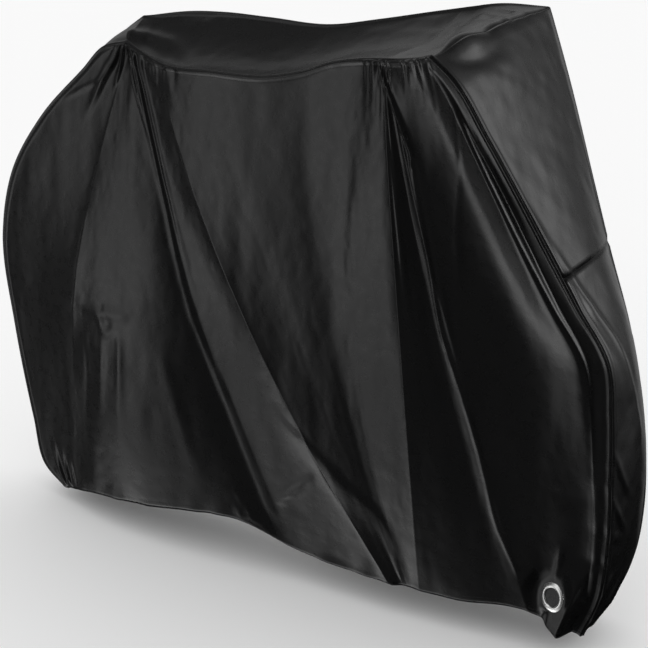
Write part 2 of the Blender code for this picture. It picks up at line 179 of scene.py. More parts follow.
FOLDS_LEFT = (
    (-0.458, -0.645, 1.00, 0.00, 0.000, 0.0, 36, 0.000, 0.000, 0.000, 0.000),
    (-0.444, -0.590, 0.08, 0.00, -0.015, 0.5, 24, 0.002, 0.026, 0.040, 0.022),
    (-0.430, -0.440, 0.00, 0.00, 0.000, 0.0, 28, 0.006, 0.024, 0.036, 0.024),
    (-0.412, -0.080, 0.00, 0.00, -0.020, 0.7, 26, -0.002, 0.010, 0.016, 0.014),
    (-0.340, 0.250, 0.00, 0.00, -0.030, 0.9, 24, 0.010, 0.028, 0.034, 0.024),
    (-0.230, 0.272, 0.00, 0.00, 0.000, 0.0, 40, 0.000, 0.014, 0.016, 0.014),
    (0.200, 0.310, 0.00, 0.00, -0.050, 0.1, 20, 0.004, 0.010, 0.012, 0.008),
    (0.262, 0.352, 0.00, 0.00, 0.010, 0.8, 16, 0.008, 0.022, 0.024, 0.018),
    (0.268, 0.420, 0.00, 0.00, 0.000, 0.1, 16, 0.000, 0.008, 0.012, 0.012),
    (0.280, 0.530, 0.00, 0.00, -0.015, 0.3, 12, -0.002, -0.004, 0.002, 0.004),
    (0.300, 0.590, 0.00, 0.06, -0.020, 0.6, 22, 0.006, 0.004, 0.008, 0.008),
    (0.350, 0.622, 0.00, 0.30, 0.000, 0.0, 20, -0.002, -0.002, -0.002, 0.000),
    (0.394, 0.656, 0.00, 0.74, 0.000, 0.7, 12, 0.006, 0.016, 0.024, 0.018),
    (0.416, 0.676, 0.00, 0.86, 0.000, 0.2, 16, 0.000, 0.002, 0.000, -0.004),
    (0.437, 0.690, 0.00, 1.00, 0.000, 0.0, 0, 0.000, 0.000, 0.000, 0.000),
)
# The levels of those four, and of the top seam, from the hem up
FOLD_HEIGHTS = (0.0, 0.25, 0.5, 0.75, 1.0)
PANEL_ROWS = 156

# Creases that lie across or between the folds: the (x, z) points that each runs through, its
# width on its rear side and on its front side, how far it stands out, and the share of that
# height left at its first and at its last point.
CREASES_RIGHT = (
    # path                                                              behind before height first last
    (((-0.385, 1.040), (-0.345, 0.943), (-0.280, 0.760), (-0.197, 0.522), (-0.100, 0.320), (-0.005, 0.120)),
     0.010, 0.004, 0.004, 1.0, 0.6),
    (((-0.366, 1.040), (-0.310, 0.890), (-0.242, 0.700), (-0.185, 0.540)), 0.005, 0.006, 0.0025, 1.0, 0.0),
    (((0.089, 0.304), (0.138, 0.268), (0.190, 0.228), (0.262, 0.180), (0.300, 0.126), (0.316, 0.070)),
     0.030, 0.010, 0.0032, 0.8, 0.2),
    (((0.030, 0.139), (0.070, 0.176), (0.108, 0.213)), 0.008, 0.004, 0.0060, 0.3, 0.3),
    (((-0.560, 0.455), (-0.516, 0.484), (-0.450, 0.476), (-0.381, 0.483), (-0.350, 0.505)),
     0.016, 0.007, 0.0035, 0.1, 0.1),
    (((-0.470, 0.492), (-0.440, 0.440), (-0.418, 0.440), (-0.396, 0.466)), 0.010, 0.007, 0.0030, 0.2, 0.1),
    (((-0.446, 0.476), (-0.450, 0.360), (-0.462, 0.230)), 0.008, 0.010, 0.0022, 0.0, 0.0),
    (((-0.396, 0.462), (-0.392, 0.370), (-0.402, 0.200)), 0.008, 0.012, 0.0026, 0.0, 0.0),
    (((-0.512, 0.446), (-0.502, 0.330), (-0.524, 0.180)), 0.010, 0.014, 0.0022, 0.0, 0.0),
    (((-0.280, 0.460), (-0.230, 0.300), (-0.180, 0.150)), 0.020, 0.012, 0.0030, 0.0, 0.3),
    (((0.284, 1.090), (0.318, 1.020), (0.346, 0.954), (0.352, 0.925)), 0.004, 0.004, 0.006, 0.7, 0.8),
    (((0.296, 1.070), (0.334, 0.990), (0.362, 0.925)), 0.003, 0.004, 0.004, 0.4, 0.8),
    (((0.352, 0.925), (0.384, 0.760), (0.412, 0.604), (0.470, 0.440), (0.505, 0.324), (0.533, 0.218),
      (0.576, 0.130)), 0.006, 0.004, 0.0032, 0.9, 0.5),
    (((0.366, 0.910), (0.398, 0.760), (0.430, 0.604), (0.488, 0.440)), 0.004, 0.005, 0.002, 0.8, 0.0),
    (((0.466, 1.050), (0.443, 0.848), (0.444, 0.720), (0.446, 0.611)), 0.006, 0.004, 0.0022, 0.4, 0.2),
    (((0.668, 0.205), (0.662, 0.160), (0.656, 0.128)), 0.007, 0.007, 0.005, 0.0, 0.8),
    (((-0.428, 1.058), (-0.440, 1.028), (-0.470, 0.986), (-0.516, 0.905)), 0.012, 0.004, 0.009, 1.0, 0.1),
    (((-0.418, 1.056), (-0.421, 1.020), (-0.436, 0.975)), 0.006, 0.003, 0.007, 1.0, 0.1),
    (((-0.600, 0.925), (-0.547, 0.951), (-0.479, 0.983)), 0.005, 0.005, 0.0025, 0.2, 0.6),
    (((-0.394, 1.034), (-0.372, 0.974), (-0.334, 0.894)), 0.004, 0.003, 0.003, 1.0, 0.1),
    (((-0.668, 0.097), (-0.652, 0.042), (-0.632, -0.005)), 0.006, 0.005, 0.0060, 0.1, 0.9),
    (((-0.640, 0.088), (-0.624, 0.040), (-0.608, 0.001)), 0.005, 0.005, 0.0070, 0.1, 0.9),
    (((-0.610, 0.078), (-0.597, 0.038), (-0.585, 0.006)), 0.005, 0.005, 0.0045, 0.1, 0.9),
    (((-0.078, 0.142), (-0.070, 0.104), (-0.066, 0.075)), 0.005, 0.005, 0.0055, 0.1, 0.9),
    (((-0.052, 0.131), (-0.045, 0.096), (-0.040, 0.069)), 0.005, 0.005, 0.0070, 0.1, 0.9),
    (((-0.028, 0.106), (-0.019, 0.078), (-0.011, 0.059)), 0.005, 0.005, 0.0050, 0.1, 0.9),
)
CREASES_LEFT = (
    (((-0.430, 1.080), (-0.400, 0.960), (-0.340, 0.760), (-0.260, 0.520), (-0.180, 0.330), (-0.100, 0.130)),
     0.012, 0.006, 0.005, 1.0, 0.5),
    (((0.060, 0.320), (0.120, 0.262), (0.180, 0.210), (0.236, 0.130)), 0.014, 0.008, 0.007, 0.6, 0.3),
    (((-0.560, 0.520), (-0.480, 0.545), (-0.400, 0.530)), 0.012, 0.008, -0.004, 0.2, 0.2),
    (((0.300, 1.100), (0.352, 0.940), (0.390, 0.740), (0.440, 0.520), (0.500, 0.300), (0.560, 0.130)),
     0.009, 0.005, 0.007, 0.8, 0.4),
)

# Puckers, the short gathers that the seam's thread pulls up. "from" and "to" are where they
# begin and end along X on the top seam, then how many there are, how far down they reach and
# how far they stand out.
PUCKERS_RIGHT = (
    # from    to    count reach  height
    (-0.410, -0.240, 7, 0.030, 0.0030),
    (-0.230, 0.200, 11, 0.014, 0.0012),
    (0.240, 0.305, 6, 0.034, 0.0060),
    (0.335, 0.425, 7, 0.032, 0.0055),
)
PUCKERS_LEFT = (
    (-0.450, -0.280, 6, 0.030, 0.0030),
    (-0.260, 0.200, 12, 0.014, 0.0012),
    (0.215, 0.330, 7, 0.045, 0.0040),
    (0.330, 0.430, 5, 0.030, 0.0030),
)

# The middle of the right eyelet, as x, half and z, the way it faces, and the distances from it
# at which the cloth is flat and free again
EYELET_AT = np.array([0.656, 0.106, 0.086])
EYELET_FACING = np.array([-0.30, -0.93, 0.16])
EYELET_FLAT = 0.031
EYELET_FREE = 0.065

# How far from a seam the cloth still lies flat, and how far from a seam or a hem it hangs free
SEAM_FLAT = 0.004
SEAM_FREE = 0.030
HEM_FREE = 0.030
SEWN_REACH = 0.006
HEM_TURN = 0.010
HEM_TURN_DEPTH = 0.006
CLOTH_THICKNESS = 0.0012


def through(knots, rows, at):
    """Smooth curve through the rows: cubics that share, at each knot, the slope of its neighbours."""
    knots = np.asarray(knots, float)
    rows = np.asarray(rows, float)
    at = np.asarray(at, float)
    slope = np.gradient(rows, knots, axis=0)
    low = np.clip(np.searchsorted(knots, at, side="right") - 1, 0, len(knots) - 2)
    length = knots[low + 1] - knots[low]
    share = (at - knots[low]) / length
    if rows.ndim > 1:
        share = share[:, None]
        length = length[:, None]
    return (
        (1 + 2 * share) * (1 - share) ** 2 * rows[low]
        + share * (1 - share) ** 2 * length * slope[low]
        + share**2 * (3 - 2 * share) * rows[low + 1]
        + share**2 * (share - 1) * length * slope[low + 1]
    )


def over_folds(rows, knife, at):
    """Curve through one row a fold, by fold number, that never passes above or below its rows.

    A round fold's slope is the harmonic mean of the steps on its two sides, or level where they
    turn; a knife fold keeps each side's own step, so that its two faces meet at an edge.
    """
    steps = np.diff(rows, axis=0)
    before = steps[:-1]
    after = steps[1:]
    same_way = before * after > 0
    mean = np.where(same_way, 2 * before * after / np.where(same_way, before + after, 1.0), 0.0)
    knife = knife[1:-1, None]
    arriving = np.concatenate([steps[:1], (1 - knife) * mean + knife * before, steps[-1:]])
    leaving = np.concatenate([steps[:1], (1 - knife) * mean + knife * after, steps[-1:]])
    low = np.clip(at.astype(int), 0, len(rows) - 2)
    share = (at - low)[:, None]
    return (
        (1 + 2 * share) * (1 - share) ** 2 * rows[low]
        + share * (1 - share) ** 2 * leaving[low]
        + share**2 * (3 - 2 * share) * rows[low + 1]
        + share**2 * (share - 1) * arriving[low + 1]
    )


def crowded(count, ends=0.8):
    """Shares from 0 to 1, closer together at both ends: an even run mixed with its own S curve."""
    even = np.linspace(0.0, 1.0, count + 1)
    return (1 - ends) * even + ends * even**2 * (3 - 2 * even)


def faded(distance, near, far):
    """1 up to the near distance, 0 from the far one, an S curve in between."""
    share = np.clip((far - distance) / (far - near), 0.0, 1.0)
    return share**2 * (3 - 2 * share)


def waves(across, along, seed):
    """Smooth uneven waves from -1 to 1: seeded values at whole numbers, joined by S curves."""
    values = np.random.default_rng(seed).uniform(-1.0, 1.0, (97, 97))
    low_across = np.floor(across).astype(int)
    low_along = np.floor(along).astype(int)
    across_share = across - low_across
    along_share = along - low_along
    across_share = across_share**2 * (3 - 2 * across_share)
    along_share = along_share**2 * (3 - 2 * along_share)
    near = values[low_across % 97, low_along % 97] * (1 - along_share)
    near += values[low_across % 97, (low_along + 1) % 97] * along_share
    far = values[(low_across + 1) % 97, low_along % 97] * (1 - along_share)
    far += values[(low_across + 1) % 97, (low_along + 1) % 97] * along_share
    return near * (1 - across_share) + far * across_share


def up_the_edge(table, shares):
    """Points of a rear or front edge at these shares of its length, from the hem up."""
    rows = np.array(table)
    steps = np.linalg.norm(np.diff(rows, axis=0), axis=1)
    knots = np.concatenate([[0.0], np.cumsum(steps)]) / steps.sum()
    return through(knots, rows, shares)


def along_x(table, x):
    """Points of a top edge or a hem at these places along X."""
    rows = np.array(table)
    return through(rows[:, 0], rows, x)


def fold_columns(folds):
    """The fold number of each grid column, closer together beside the rear and front seams."""
    counts = [int(row[6]) for row in folds[:-1]]
    parts = [np.arange(count) / count + index for index, count in enumerate(counts)]
    parts[0] = (np.arange(counts[0]) / counts[0]) ** 1.7
    last = len(folds) - 1.0
    parts[-1] = last - (1 - np.arange(counts[-1]) / counts[-1]) ** 1.5
    return np.concatenate(parts + [[last]])


def crease_height(x, z, creases):
    """How far the creases stand out: a bell across each path, as wide on each side as its row
    says, times its height, which goes from its first share to 1 half way and to its last share."""
    total = np.zeros_like(x)
    for path, behind, before, height, first, last in creases:
        knots = np.linspace(0.0, 1.0, len(path))
        fine = np.linspace(0.0, 1.0, 12 * len(path))
        line = through(knots, np.array(path), fine)
        run = np.gradient(line, axis=0)
        run /= np.linalg.norm(run, axis=1)[:, None]
        reach = 3 * max(behind, before)
        near = (x > line[:, 0].min() - reach) & (x < line[:, 0].max() + reach)
        near &= (z > line[:, 1].min() - reach) & (z < line[:, 1].max() + reach)
        gap = np.stack([x[near], z[near]], axis=1)[:, None] - line
        nearest = (gap**2).sum(axis=2).argmin(axis=1)
        gap = gap[np.arange(len(gap)), nearest]
        side = run[nearest, 1] * gap[:, 0] - run[nearest, 0] * gap[:, 1]
        ahead = (run[nearest] * gap).sum(axis=1)
        width = np.where((side > 0) == (run[nearest, 1] > 0), before, behind)
        share = fine[nearest]
        level = np.where(share < 0.5, first + (1 - first) * 2 * share, last + (1 - last) * 2 * (1 - share))
        total[near] += height * level * np.exp(-((side / width) ** 2) - (ahead / (2 * width)) ** 2)
    return total


def pucker_height(x, from_top, puckers):
    """Short gathers under the top seam: uneven waves along it that die away down the cloth."""
    total = np.zeros_like(x)
    for number, (start, end, count, reach, height) in enumerate(puckers):
        place = (x - start) / (end - start)
        wave = waves(place * count * 2, from_top / (3 * reach) + 5, 30 + number)
        inside = faded(np.abs(place - 0.5), 0.42, 0.58)
        rise = 1 - np.exp(-from_top / SEWN_REACH)
        total += height * wave * inside * rise * np.exp(-from_top / reach)
    return total


def distance_run(grid, axis, backwards):
    """Distance along the cloth from one edge of the grid, added up from point to point."""
    steps = np.linalg.norm(np.diff(grid, axis=axis), axis=2)
    if backwards:
        steps = np.flip(steps, axis)
    edge = np.zeros_like(np.take(steps, [0], axis))
    run = np.concatenate([edge, np.cumsum(steps, axis=axis)], axis=axis)
    return np.flip(run, axis) if backwards else run


def side_panel(rear, top, front, hem, folds, creases, puckers, seed):
    """Grid (columns, rows, x half z) of one side's cloth, hem to seam, and its seam distances.

    Each column runs straight from its hem point to its seam point, bent by its shares of the
    rear and front seams' curves and by its bow. What stands out from that is the folds, then
    the creases, the puckers, the crinkled hem and a slight unevenness all over.
    """
    table = np.array(folds)
    knife = table[:, 5]
    column = fold_columns(folds)
    level = crowded(PANEL_ROWS)
    across = over_folds(table[:, :5], np.zeros(len(table)), column)
    top_x, hem_x, rear_share, front_share, bow = across.T
    above = along_x(top, top_x)
    below = along_x(hem, hem_x)
    rear_line = up_the_edge(rear, level)
    front_line = up_the_edge(front, level)
    rear_bend = rear_line - (rear_line[:1] + level[:, None] * (rear_line[-1:] - rear_line[:1]))
    front_bend = front_line - (front_line[:1] + level[:, None] * (front_line[-1:] - front_line[:1]))
    grid = below[:, None] + level[None, :, None] * (above - below)[:, None]
    grid += rear_share[:, None, None] * rear_bend[None] + front_share[:, None, None] * front_bend[None]
    grid[..., 0] += bow[:, None] * (4 * level * (1 - level))[None]

    heights = np.concatenate([table[:, 7:11], np.zeros((len(table), 1))], axis=1)
    by_level = through(FOLD_HEIGHTS, heights.T, level)
    grid[..., 1] += over_folds(by_level.T, knife, column)

    from_rear = distance_run(grid, 0, False)
    from_front = distance_run(grid, 0, True)
    from_hem = distance_run(grid, 1, False)
    from_top = distance_run(grid, 1, True)
    from_seam = np.minimum(np.minimum(from_rear, from_front), from_top)
    x, z = grid[..., 0], grid[..., 2]

    free = faded(-from_seam, -SEAM_FREE, -SEAM_FLAT) * faded(-from_hem, -HEM_FREE, 0.0)
    number = np.broadcast_to(column[:, None], x.shape)
    uneven = 0.0012 * waves(number * 2.3, from_hem * 4.0, seed)
    uneven += 0.0007 * waves(x * 30, z * 8, seed + 1)
    uneven += 0.00025 * waves(x * 90, z * 46, seed + 2)
    sewn_down = (1 - np.exp(-from_seam / SEWN_REACH)) * faded(-from_hem, -HEM_FREE, 0.0)
    grid[..., 1] += free * uneven + sewn_down * crease_height(x, z, creases)
    grid[..., 1] += pucker_height(x, from_top, puckers)

    by_front = 0.0040 * waves(z * 46, from_front * 9, seed + 3) * np.exp(-from_front / 0.035)
    grid[..., 1] += by_front * (1 - np.exp(-from_front / 0.008)) * faded(z, 0.55, 0.75)

    gather = waves(x * 30, from_hem * 6, seed + 4) * np.exp(-from_hem / 0.045)
    grid[..., 1] += 0.0028 * gather * faded(-from_seam, -0.05, 0.0)

    facing = EYELET_FACING
    plane = EYELET_AT[1] + ((grid[..., [0, 2]] - EYELET_AT[[0, 2]]) @ facing[[0, 2]]) / facing[1]
    from_eyelet = np.hypot(x - EYELET_AT[0], z - EYELET_AT[2])
    broad = faded(np.abs(number - 11.5), 0.3, 1.0) * faded(level, 0.05, 0.15)
    held = np.maximum(broad, faded(from_eyelet, EYELET_FLAT, EYELET_FREE))
    grid[..., 1] += held * (plane - grid[..., 1])

    turned_in = faded(from_hem, 0.0, HEM_TURN)
    grid[..., 1] -= HEM_TURN_DEPTH * turned_in**2
    along = np.where(from_top < np.minimum(from_rear, from_front), x, z)
    return grid, along, from_seam, from_hem


def raised(grid, height, outward=1.0):
    """The grid moved along its own normals by the height at each point."""
    normal = np.cross(np.gradient(grid, axis=0), np.gradient(grid, axis=1))
    normal /= np.linalg.norm(normal, axis=2)[..., None] + 1e-12
    return grid + outward * height[..., None] * normal


def seam_ridge(from_seam):
    """The doubled cloth beside a seam: a low ridge where it is stitched down, falling to the
    seam itself, which lies in a groove."""
    ridge = 0.0022 * np.exp(-(((from_seam - 0.0045) / 0.0035) ** 2))
    return ridge + 0.0008 * faded(from_seam, 0.010, 0.013) * (1 - np.exp(-from_seam / 0.002))


def cloth_object(name, grid, seam_place, from_hem):
    """A sheet object from a grid, with its face outwards: its UV map is the cloth's own run in
    metres, a second one the place along and the distance from the seam."""
    columns, rows = grid.shape[:2]
    corner = np.arange(columns * rows).reshape(columns, rows)
    quads = np.stack([corner[:-1, :-1], corner[1:, :-1], corner[1:, 1:], corner[:-1, 1:]], axis=2)
    quads = quads.reshape(-1, 4)
    mesh = bpy.data.meshes.new(name)
    mesh.vertices.add(columns * rows)
    mesh.vertices.foreach_set("co", (grid + TO_FRAME).astype(np.float32).ravel())
    mesh.loops.add(quads.size)
    mesh.loops.foreach_set("vertex_index", quads.astype(np.int32).ravel())
    mesh.polygons.add(len(quads))
    mesh.polygons.foreach_set("loop_start", np.arange(0, quads.size, 4, dtype=np.int32))
    mesh.polygons.foreach_set("use_smooth", np.ones(len(quads), bool))
    mesh.update()
    mesh.validate()
    run = np.stack([distance_run(grid, 0, False), distance_run(grid, 1, False)], axis=2)
    for title, place in (("cloth", run), ("seam", seam_place)):
        layer = mesh.uv_layers.new(name=title)
        layer.data.foreach_set("uv", place.reshape(-1, 2)[quads.ravel()].astype(np.float32).ravel())
    edge = mesh.attributes.new("from_hem", "FLOAT", "POINT")
    edge.data.foreach_set("value", from_hem.astype(np.float32).ravel())
    piece = bpy.data.objects.new(name, mesh)
    bpy.context.scene.collection.objects.link(piece)
    thick = piece.modifiers.new("cloth_thickness", "SOLIDIFY")
    thick.thickness = CLOTH_THICKNESS
    thick.offset = -1.0
    return piece


class Value:
    """A shader socket that takes Python's + - * and < and returns the socket of the result."""

    def __init__(self, shader, socket):
        self.shader = shader
        self.socket = socket

    def maths(self, operation, first, second):
        return self.shader.node("ShaderNodeMath", {"operation": operation}, {0: first, 1: second})

    def __add__(self, other):
        return self.maths("ADD", self, other)

    def __radd__(self, other):
        return self.maths("ADD", other, self)

    def __sub__(self, other):
        return self.maths("SUBTRACT", self, other)

    def __rsub__(self, other):
        return self.maths("SUBTRACT", other, self)

    def __mul__(self, other):
        return self.maths("MULTIPLY", self, other)

    def __rmul__(self, other):
        return self.maths("MULTIPLY", other, self)

    def __rmul__(self, other):
        return self.maths("MULTIPLY", other, self)

    def __lt__(self, other):
        return self.maths("LESS_THAN", self, other)


class Shader:
    """A material with its Principled BSDF, and one method that makes every other node."""

    def __init__(self, name, roughness, metallic=0.0):
        self.material = bpy.data.materials.new(name)
        self.material.use_nodes = True
        self.tree = self.material.node_tree
        self.surface = self.tree.nodes["Principled BSDF"]
        self.surface.inputs["Roughness"].default_value = roughness
        self.surface.inputs["Metallic"].default_value = metallic

    def plug(self, socket, value):
        if isinstance(value, Value):
            self.tree.links.new(value.socket, socket)
        else:
            socket.default_value = value

    def node(self, kind, settings, inputs, output=0):
        """A node of this kind: its settings first, then the values or links of its sockets."""
        made = self.tree.nodes.new(kind)
        for key, value in settings.items():
            setattr(made, key, value)
        for key, value in inputs.items():
            self.plug(made.inputs[key], value)
        return Value(self, made.outputs[output])

    def set(self, **inputs):
        for key, value in inputs.items():
            self.plug(self.surface.inputs[key.replace("_", " ")], value)


# Stitches to a metre, the share of each that is thread, and how far thread and cloth stand out.
# A row of stitches is its distance from the seam or the hem, and half its thread's width.
INNER_ROW = (0.0030, 0.0006)
OUTER_ROW = (0.0085, 0.0006)
HEM_ROW = (0.0160, 0.0007)
STITCHES = 250.0
THREAD_SHARE = 0.66
THREAD_HEIGHT = 0.0005
CRINKLE_HEIGHT = 0.0004


def coated_cloth():
    """Black woven cloth with a satin coating: fine crinkles that catch the light, a broad unevenness,
    two rows of stitches beside each seam and one above the hem."""
    shader = Shader("coated_cloth", 0.40)
    place = shader.node("ShaderNodeTexCoord", {}, {}, "Object")
    crinkle = shader.node(
        "ShaderNodeTexNoise", {}, {"Vector": place, "Scale": 46.0, "Detail": 4.0, "Roughness": 0.55}, "Fac"
    )
    broad = shader.node(
        "ShaderNodeTexNoise", {}, {"Vector": place, "Scale": 9.0, "Detail": 2.0}, "Fac"
    )
    seam = shader.node("ShaderNodeUVMap", {"uv_map": "seam"}, {})
    seam_parts = shader.tree.nodes.new("ShaderNodeSeparateXYZ")
    shader.tree.links.new(seam.socket, seam_parts.inputs[0])
    along = Value(shader, seam_parts.outputs[0])
    away = Value(shader, seam_parts.outputs[1])
    stitch = along.maths("FRACT", STITCHES * along, 0.0) < THREAD_SHARE
    hem = shader.node("ShaderNodeAttribute", {"attribute_name": "from_hem"}, {}, "Fac")
    inner, outer, above_hem = [
        shader.node("ShaderNodeMath", {"operation": "COMPARE"}, {0: distance, 1: row, 2: half_width})
        for distance, (row, half_width) in ((away, INNER_ROW), (away, OUTER_ROW), (hem, HEM_ROW))
    ]
    thread = (inner + outer + above_hem) * stitch
    relief = CRINKLE_HEIGHT * (crinkle + broad) + THREAD_HEIGHT * thread
    bump = shader.node("ShaderNodeBump", {}, {"Height": relief, "Strength": 1.0, "Distance": 1.0})
    colour = shader.node(
        "ShaderNodeMix",
        {"data_type": "RGBA"},
        {0: broad, 6: (0.0017, 0.0017, 0.0018, 1.0), 7: (0.0026, 0.0026, 0.0028, 1.0)},
        2,
    )
    shader.surface.inputs["Specular IOR Level"].default_value = 0.5
    shader.set(Base_Color=colour, Roughness=0.23 + crinkle * 0.10, Normal=bump)
    return shader.material


cloth_material = coated_cloth()

OUTLINE_RIGHT = (REAR_RIGHT, TOP_RIGHT, FRONT_RIGHT, HEM_RIGHT)
OUTLINE_LEFT = (REAR_LEFT, TOP_LEFT, FRONT_LEFT, HEM_LEFT)
panel_grids = {}
for side, sign, outline, hang in (
    ("right", -1.0, OUTLINE_RIGHT, (FOLDS_RIGHT, CREASES_RIGHT, PUCKERS_RIGHT, 3)),
    ("left", 1.0, OUTLINE_LEFT, (FOLDS_LEFT, CREASES_LEFT, PUCKERS_LEFT, 53)),
):
    grid, along, from_seam, from_hem = side_panel(*outline, *hang)
    grid = grid * np.array([1.0, sign, 1.0])
    panel_grids[side] = grid
    shown = raised(grid, seam_ridge(from_seam), -sign)
    seam_place = np.stack([along, from_seam], axis=2)
    if sign > 0:
        shown, seam_place, from_hem = shown[::-1], seam_place[::-1], from_hem[::-1]
    panel = cloth_object(f"cloth_side_{side}", shown, seam_place, from_hem)
    panel.data.materials.append(cloth_material)
    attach(panel, "root")
    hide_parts(f"side_panel_{side}", f"eyelet_field_{side}")

# ---------------------------------------------------------------------------------------------
# Gusset
# One long strip of the same cloth joins the two sides, cut at the saddle, at the handlebar and
# across the front. Its four pieces are sewn end to end and to both side panels.
# ---------------------------------------------------------------------------------------------

GUSSET_CELLS = 56
# How far the strip's middle stands out, by the share of each part's length
CROWN_REAR = ((0.0, 0.0), (0.5, 0.016), (0.8, 0.006), (1.0, 0.004))
CROWN_TOP = ((0.0, 0.004), (0.2, -0.010), (0.5, -0.026), (0.8, -0.006), (1.0, 0.016))
CROWN_FRONT = ((0.0, 0.0), (0.3, 0.026), (0.6, 0.022), (0.85, 0.012), (1.0, 0.016))
CROSS_SEAM_LEVEL = 15 / 24
# How far the cloth is rounded over the saddle's rear and over the handlebar, and its knob of
# cloth over the right grip: place across, width along each axis, height and the dip round it
SADDLE_ROUND = 0.020
BAR_ROUND = 0.030
ROUND_ROWS = 8
GRIP_Y = -0.110
GRIP_STRETCH = np.array([1.3, 2.0, 1.0])
GRIP_BUMP = (0.009, 0.024)
GRIP_DIP = (0.004, 0.042, 0.014)

# Creases of the top, by (x, y), and of the front, by (y, z), in the side panels' columns.
CREASES_TOP = (
    (((-0.424, -0.012), (-0.390, 0.010), (-0.320, 0.000), (-0.255, -0.040)), 0.022, 0.022, 0.0110, 0.7, 0.3),
    (((0.381, -0.147), (0.340, -0.040), (0.309, 0.055), (0.301, 0.149)), 0.030, 0.024, -0.0090, 0.8, 0.5),
    (((0.330, 0.150), (0.372, 0.110), (0.404, 0.090)), 0.007, 0.007, 0.0040, 0.5, 0.2),
    (((0.352, 0.180), (0.392, 0.150), (0.430, 0.140)), 0.006, 0.006, 0.0040, 0.5, 0.2),
    (((0.400, 0.060), (0.430, 0.050), (0.462, 0.040)), 0.006, 0.006, 0.0035, 0.2, 0.6),
)
CREASES_FRONT = (
    (((-0.150, 0.850), (-0.110, 0.740), (-0.070, 0.640), (-0.004, 0.431)), 0.016, 0.012, 0.0070, 0.3, 0.3),
    (((-0.063, 0.132), (-0.080, 0.080), (-0.101, 0.033)), 0.005, 0.005, 0.0090, 0.5, 0.8),
    (((-0.028, 0.117), (-0.050, 0.070), (-0.070, 0.021)), 0.006, 0.005, 0.0110, 0.5, 0.8),
    (((0.004, 0.110), (-0.012, 0.060), (-0.030, 0.012)), 0.005, 0.006, 0.0080, 0.4, 0.8),
    (((-0.086, 0.400), (-0.060, 0.340), (-0.030, 0.300)), 0.005, 0.005, 0.0040, 0.9, 0.1),
    (((-0.088, 0.310), (-0.060, 0.260), (-0.036, 0.228)), 0.004, 0.005, 0.0040, 0.9, 0.1),
    (((-0.086, 0.240), (-0.064, 0.226), (-0.030, 0.222)), 0.004, 0.004, 0.0030, 0.9, 0.1),
)


def seam_of(grid):
    """The seam of a side panel: up its rear edge, forwards along its top and down its front."""
    return np.concatenate([grid[0], grid[1:, -1], grid[-1, -2::-1]])


def gusset(right, left, levels, columns):
    """Grid across the gusset, straight from seam to seam and raised in the middle by the crown:
    a hump, 1 - (2 share - 1) squared, along the strip's own outward direction."""
    places = (
        (CROWN_REAR, levels),
        (CROWN_TOP, np.linspace(0.0, 1.0, columns)[1:]),
        (CROWN_FRONT, levels[::-1][1:]),
    )
    rise = np.concatenate([through(*np.array(table).T, at) for table, at in places])
    share = crowded(GUSSET_CELLS, 0.6)
    grid = right[:, None] + share[None, :, None] * (left - right)[:, None]
    middle = (right + left) / 2
    run = np.gradient(middle, axis=0)
    outward = np.stack([-run[:, 2], np.zeros(len(run)), run[:, 0]], axis=1)
    outward /= np.linalg.norm(outward, axis=1)[:, None]
    hump = 1 - (2 * share - 1) ** 2
    return grid + rise[:, None, None] * hump[None, :, None] * outward[:, None]


levels = crowded(PANEL_ROWS)
columns = panel_grids["right"].shape[0]
strip = gusset(seam_of(panel_grids["right"]), seam_of(panel_grids["left"]), levels, columns)
from_right = distance_run(strip, 1, False)
from_left = distance_run(strip, 1, True)
from_side_seam = np.minimum(from_right, from_left)
run_down = distance_run(strip, 0, False)
cross_row = int(np.argmin(np.abs(levels - CROSS_SEAM_LEVEL)))
at_saddle = PANEL_ROWS
at_bar = PANEL_ROWS + columns - 1
at_cross_seam = at_bar + PANEL_ROWS - cross_row
cuts = (0, at_saddle, at_bar, at_cross_seam, len(strip) - 1)
from_raised_seam = np.minimum(from_side_seam, np.abs(run_down - run_down[at_cross_seam]))
# Near each bend the strip moves to the mean of the rows before and after it.
nearby = range(-ROUND_ROWS, ROUND_ROWS + 1)
for bend, reach in ((at_saddle, SADDLE_ROUND), (at_bar, BAR_ROUND)):
    round_bend = np.mean([np.roll(strip, rows_on, axis=0) for rows_on in nearby], axis=0)
    share = np.exp(-(((run_down - run_down[bend]) / reach) ** 2)) * (1 - np.exp(-from_side_seam / 0.020))
    strip = strip + share[..., None] * (round_bend - strip)
free = faded(-from_side_seam, -SEAM_FREE, -SEAM_FLAT)
uneven = 0.0020 * waves(run_down * 9, from_right * 12, 80)
uneven += 0.0008 * waves(run_down * 40, from_right * 34, 81)
creased = np.zeros_like(uneven)
top_rows = slice(at_saddle, at_bar)
creased[top_rows] = crease_height(strip[top_rows, :, 0], strip[top_rows, :, 1], CREASES_TOP)
creased[at_bar:] = crease_height(strip[at_bar:, :, 1], strip[at_bar:, :, 2], CREASES_FRONT)
creased *= 1 - np.exp(-from_side_seam / SEWN_REACH)
grip = strip[at_bar, int(np.argmin(np.abs(strip[at_bar, :, 1] - GRIP_Y)))]
from_grip = np.linalg.norm((strip - grip) / GRIP_STRETCH, axis=2)
bump_height, bump_width = GRIP_BUMP
dip_depth, dip_radius, dip_width = GRIP_DIP
creased += bump_height * np.exp(-((from_grip / bump_width) ** 2))
creased -= dip_depth * np.exp(-(((from_grip - dip_radius) / dip_width) ** 2))
strip = raised(strip, free * uneven + creased + seam_ridge(from_raised_seam), 1.0)

